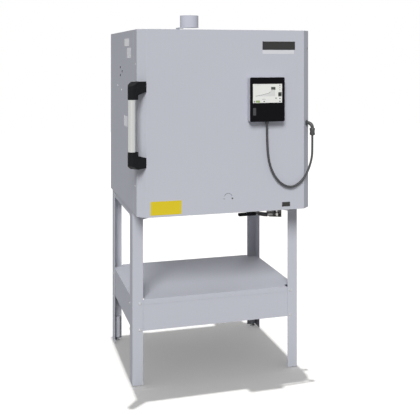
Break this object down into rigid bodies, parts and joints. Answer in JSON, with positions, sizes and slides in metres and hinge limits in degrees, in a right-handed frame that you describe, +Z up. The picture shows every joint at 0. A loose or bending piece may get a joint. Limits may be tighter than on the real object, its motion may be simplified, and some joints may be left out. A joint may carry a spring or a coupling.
{
  "type": "chamber kiln",
  "caption": "Front-loading chamber kiln with swing door, touch controller, roof exhaust pipe and swinging air inlet lever, on an open angle-leg stand with a shelf.",
  "frame": {"origin": "on the floor below the middle of the casing's width, halfway between the door's front face and the rear panel", "axes": "+X to the right seen from the front, +Y from the door to the back, +Z up"},
  "size_m": [0.9612, 0.9487, 1.833],
  "materials": {
    "casing_paint": "satin",
    "stand_paint": "satin",
    "stainless": "satin",
    "fasteners": "satin",
    "hinge_steel": "satin",
    "lever_steel": "satin",
    "light_brick": "matte",
    "fibre_board": "matte",
    "dense_ceramic": "matte",
    "floor_carbide": "matte",
    "heating_wire": "matte",
    "black_plastic": "matte",
    "fascia_plastic": "satin",
    "screen_glass": "gloss",
    "satin_aluminium": "satin",
    "cable_rubber": "matte",
    "connector_plastic": "matte"
  },
  "bodies": {
    "kiln": {"air_inlet_bracket": "stainless", "air_inlet_tube": "dense_ceramic", "apron_frame": "stand_paint", "backup_insulation": "fibre_board", "brick_floor": "light_brick", "brick_roof": "light_brick", "brick_wall_left": "light_brick", "brick_wall_rear": "light_brick", "brick_wall_right": "light_brick", "casing_floor_pan": "stainless", "casing_front_frame": "stainless", "casing_rear_panel": "casing_paint", "casing_roof": "casing_paint", "casing_screws": "fasteners", "casing_side_left": "casing_paint", "casing_side_right": "casing_paint", "catch_magnets": "hinge_steel", "door_switch": "black_plastic", "exhaust_duct": "dense_ceramic", "exhaust_pipe": "casing_paint", "floor_plate": "floor_carbide", "heating_coils": "heating_wire", "hinge_fixed_leaves": "hinge_steel", "hinge_pins": "hinge_steel", "inner_casing": "stainless", "leg_front_left": "stand_paint", "leg_front_right": "stand_paint", "leg_rear_left": "stand_paint", "leg_rear_right": "stand_paint", "levelling_feet": "fasteners", "mains_gland": "black_plastic", "shelf_tray": "stand_paint", "stand_bolts": "fasteners", "support_tubes": "dense_ceramic", "terminal_cover": "casing_paint", "thermocouple": "dense_ceramic", "top_frame": "stand_paint"},
    "door": {"door_shell": "casing_paint", "door_liner": "stainless", "door_insulation": "fibre_board", "door_plug": "light_brick", "door_seal": "fibre_board", "hinge_door_leaves": "hinge_steel", "handle_bracket_upper": "black_plastic", "handle_bracket_lower": "black_plastic", "handle_tube": "satin_aluminium", "controller_holder": "black_plastic", "controller_housing": "black_plastic", "controller_fascia": "fascia_plastic", "display_glass": "screen_glass", "cable_gland": "connector_plastic", "cable_elbow": "connector_plastic", "cable_connector": "connector_plastic", "control_cable": "cable_rubber", "strike_plates": "hinge_steel", "door_screws": "fasteners"},
    "inlet_lever": {"air_inlet_lever": "lever_steel", "air_inlet_grip": "black_plastic"},
    "usb_cover_body": {"usb_cover": "black_plastic"}
  },
  "joints": [
    {"name": "door_swing", "type": "hinge", "parent": "kiln", "child": "door", "pos_m": [0.459, -0.299, 1.295], "axis": [0, 0, 1], "range_deg": [0, 115]},
    {"name": "air_inlet_swing", "type": "hinge", "parent": "kiln", "child": "inlet_lever", "pos_m": [0.31, -0.272, 0.81], "axis": [0, 0, 1], "range_deg": [0, 45]},
    {"name": "usb_cover_flap", "type": "hinge", "parent": "door", "child": "usb_cover_body", "pos_m": [0.11555, -0.46475, 1.342], "axis": [0, 0, -1], "range_deg": [0, 90]}
  ]
}
